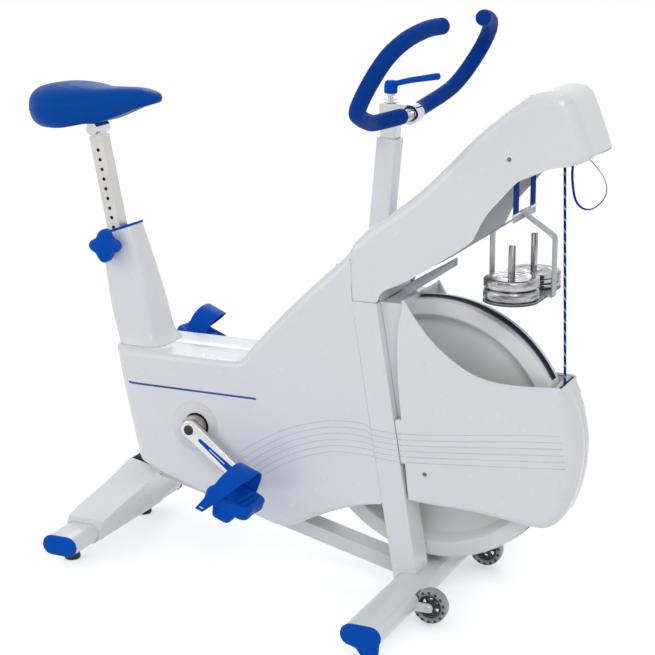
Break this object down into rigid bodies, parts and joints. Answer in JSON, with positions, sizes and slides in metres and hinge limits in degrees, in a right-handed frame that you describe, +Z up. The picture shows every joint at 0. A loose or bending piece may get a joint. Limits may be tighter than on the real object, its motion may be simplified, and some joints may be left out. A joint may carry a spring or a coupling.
{
  "type": "bicycle ergometer",
  "caption": "Exercise bicycle with a weight basket: white shells over a steel frame, belt-braked flywheel, forward head with a hanging basket of discs, blue saddle, grips and pedals.",
  "frame": {"origin": "on the floor, under the middle of the machine's box", "axes": "+X from the saddle to the flywheel, +Y to the rider's left, +Z up"},
  "size_m": [1.1997, 0.7186, 1.1305],
  "materials": {
    "white_paint": "gloss powder coat",
    "white_shell": "fine satin texture",
    "blue_plastic": "moulded satin",
    "blue_cover": "soft grained vinyl",
    "blue_foam": "closed-cell foam",
    "blue_webbing": "woven",
    "flecked_cord": "braided",
    "black_rubber": "matte",
    "grey_tyre": "satin",
    "steel": "zinc plated",
    "chrome": "polished",
    "dark_metal": "satin black",
    "painted_casting": "pale enamel"
  },
  "bodies": {
    "frame": {"main_beam": "white_paint", "rear_leg": "white_paint", "seat_tube": "white_paint", "crank_housing": "white_paint", "fork_leg_right": "white_paint", "fork_leg_left": "white_paint", "handlebar_post": "white_paint", "head_arm": "white_paint", "front_support_tube": "white_paint", "rear_support_tube": "white_paint", "front_cap_right": "blue_plastic", "front_cap_left": "blue_plastic", "rear_cap_right": "blue_plastic", "rear_cap_left": "blue_plastic", "rear_foot_right": "black_rubber", "rear_foot_left": "black_rubber", "rear_casing_right": "white_shell", "rear_casing_left": "white_shell", "seat_tube_cover": "white_shell", "seat_bushing": "blue_plastic", "head_cover": "white_shell", "wheel_guard_right": "white_shell", "wheel_guard_left": "white_shell", "flywheel_axle": "steel", "belt_bracket": "dark_metal", "brake_belt": "blue_webbing", "chain": "steel", "brake_cord": "flecked_cord", "pull_strap": "blue_webbing", "basket_strap_right": "blue_webbing", "basket_strap_left": "blue_webbing"},
    "flywheel": {"flywheel": "painted_casting", "drive_sprocket": "steel"},
    "cranks": {"crank_spindle": "steel", "chainring": "steel", "crank_arm_right": "chrome", "crank_arm_left": "chrome"},
    "right_pedal": {"pedal_right": "blue_plastic", "pedal_strap_right": "blue_plastic"},
    "left_pedal": {"pedal_left": "blue_plastic", "pedal_strap_left": "blue_plastic"},
    "right_transport_wheel": {"transport_wheel_right": "grey_tyre"},
    "left_transport_wheel": {"transport_wheel_left": "grey_tyre"},
    "seat_mast": {"seat_post": "chrome", "saddle_clamp": "chrome"},
    "saddle": {"saddle": "blue_cover"},
    "seat_knob": {"seat_knob": "blue_plastic"},
    "stem": {"handlebar_stem": "chrome", "handlebar_clamp": "chrome"},
    "handlebar": {"handlebar_bar": "chrome", "grip_right": "blue_foam", "grip_left": "blue_foam"},
    "clamp_lever": {"clamp_lever": "blue_plastic"},
    "basket": {"basket_frame": "steel"},
    "head_pulley": {"head_pulley": "steel"},
    "right_lower_disc": {"weight_right_lower": "chrome"},
    "right_upper_disc": {"weight_right_upper": "chrome"},
    "left_lower_disc": {"weight_left_lower": "chrome"},
    "left_middle_disc": {"weight_left_middle": "chrome"},
    "left_upper_disc": {"weight_left_upper": "chrome"}
  },
  "joints": [
    {"name": "flywheel_spin", "type": "hinge", "parent": "frame", "child": "flywheel", "pos_m": [0.284, 0, 0.343], "axis": [0, 1, 0], "continuous": true},
    {"name": "crank_spin", "type": "hinge", "parent": "frame", "child": "cranks", "pos_m": [-0.2, 0, 0.307], "axis": [0, 1, 0], "continuous": true},
    {"name": "right_pedal_spin", "type": "hinge", "parent": "cranks", "child": "right_pedal", "pos_m": [-0.06423, -0.188, 0.20469], "axis": [0, 1, 0], "continuous": true},
    {"name": "left_pedal_spin", "type": "hinge", "parent": "cranks", "child": "left_pedal", "pos_m": [-0.33577, 0.188, 0.40931], "axis": [0, 1, 0], "continuous": true},
    {"name": "right_transport_wheel_spin", "type": "hinge", "parent": "frame", "child": "right_transport_wheel", "pos_m": [0.333, -0.157, 0.041], "axis": [0, 1, 0], "continuous": true},
    {"name": "left_transport_wheel_spin", "type": "hinge", "parent": "frame", "child": "left_transport_wheel", "pos_m": [0.333, 0.157, 0.041], "axis": [0, 1, 0], "continuous": true},
    {"name": "seat_height", "type": "slide", "parent": "frame", "child": "seat_mast", "axis": [-0.1891, 0, 0.982], "range_m": [-0.12, 0.1]},
    {"name": "saddle_tilt", "type": "hinge", "parent": "seat_mast", "child": "saddle", "pos_m": [-0.462, 0, 0.881], "axis": [0, 1, 0], "range_deg": [-8, 8]},
    {"name": "seat_knob_pull", "type": "slide", "parent": "frame", "child": "seat_knob", "axis": [0, -1, 0], "range_m": [0, 0.01], "stiffness_N_per_m": 800},
    {"name": "handlebar_height", "type": "slide", "parent": "frame", "child": "stem", "axis": [0.0924, 0, 0.9957], "range_m": [-0.02, 0.1]},
    {"name": "handlebar_tilt", "type": "hinge", "parent": "stem", "child": "handlebar", "pos_m": [0.2235, 0, 0.943], "axis": [0, 1, 0], "range_deg": [-40, 25]},
    {"name": "lever_turn", "type": "hinge", "parent": "stem", "child": "clamp_lever", "pos_m": [0.18, 0, 0.985], "axis": [0, 0, 1], "range_deg": [-90, 90]},
    {"name": "basket_lift", "type": "slide", "parent": "frame", "child": "basket", "axis": [0, 0, 1], "range_m": [0, 0.04], "deforming": ["basket_strap_right", "basket_strap_left"]},
    {"name": "pulley_turn", "type": "hinge", "parent": "frame", "child": "head_pulley", "pos_m": [0.4855, 0, 0.93], "axis": [0, 1, 0], "range_deg": [0, 65]},
    {"name": "right_lower_disc_lift", "type": "slide", "parent": "basket", "child": "right_lower_disc", "axis": [0, 0, 1], "range_m": [0, 0.02]},
    {"name": "right_upper_disc_lift", "type": "slide", "parent": "right_lower_disc", "child": "right_upper_disc", "axis": [0, 0, 1], "range_m": [0, 0.045]},
    {"name": "left_lower_disc_lift", "type": "slide", "parent": "basket", "child": "left_lower_disc", "axis": [0, 0, 1], "range_m": [0, 0.015]},
    {"name": "left_middle_disc_lift", "type": "slide", "parent": "left_lower_disc", "child": "left_middle_disc", "axis": [0, 0, 1], "range_m": [0, 0.02]},
    {"name": "left_upper_disc_lift", "type": "slide", "parent": "left_middle_disc", "child": "left_upper_disc", "axis": [0, 0, 1], "range_m": [0, 0.03]}
  ],
  "couplings": [
    {"joint": "crank_spin", "follows": "flywheel_spin", "ratio": 0.26923},
    {"joint": "pulley_turn", "follows": "basket_lift", "rad_per_m": 25.25}
  ]
}
